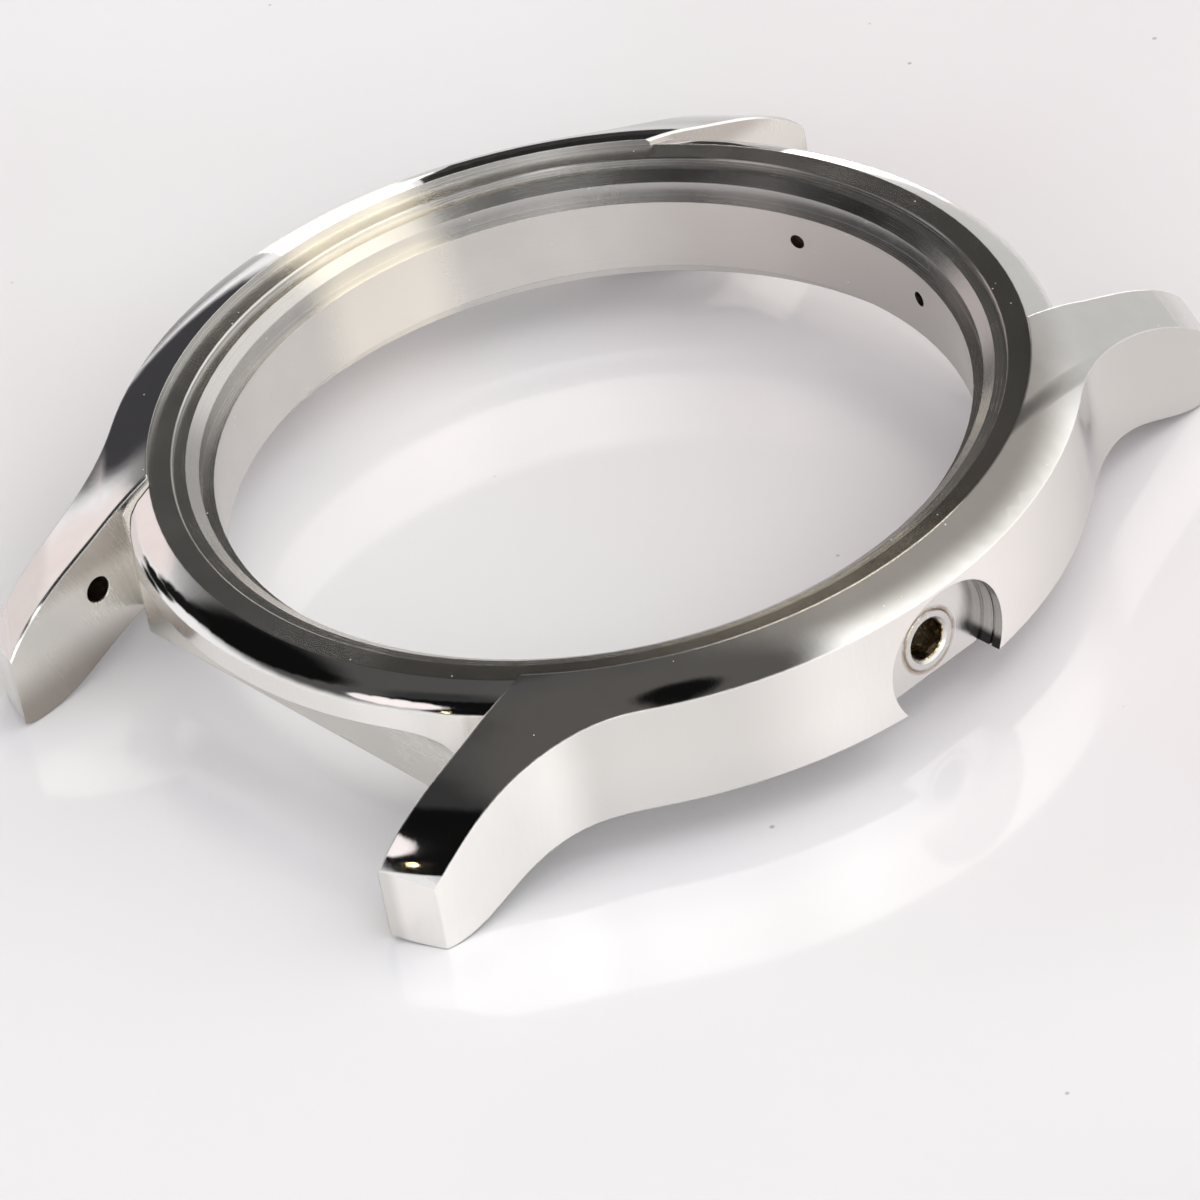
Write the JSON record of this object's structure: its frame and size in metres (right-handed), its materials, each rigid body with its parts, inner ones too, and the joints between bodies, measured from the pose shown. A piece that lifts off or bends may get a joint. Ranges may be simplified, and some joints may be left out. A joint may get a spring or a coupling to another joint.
{
  "type": "watch case middle",
  "caption": "Bare round stepped watch case middle with curved lugs, drilled spring bar holes and a pressed-in crown tube; takes a movement, bezel, crystal, back and strap.",
  "frame": {"origin": "on the bore's axis, at the height of the lugs' lowest line", "axes": "+X towards the crown at 3 o'clock, +Y towards 12 o'clock, +Z towards the crystal"},
  "size_m": [0.0362, 0.0408, 0.0068],
  "materials": {
    "case_steel": "polished",
    "tube_steel": "satin"
  },
  "bodies": {
    "root": {"case_middle": "case_steel", "crown_tube": "tube_steel"}
  },
  "joints": []
}
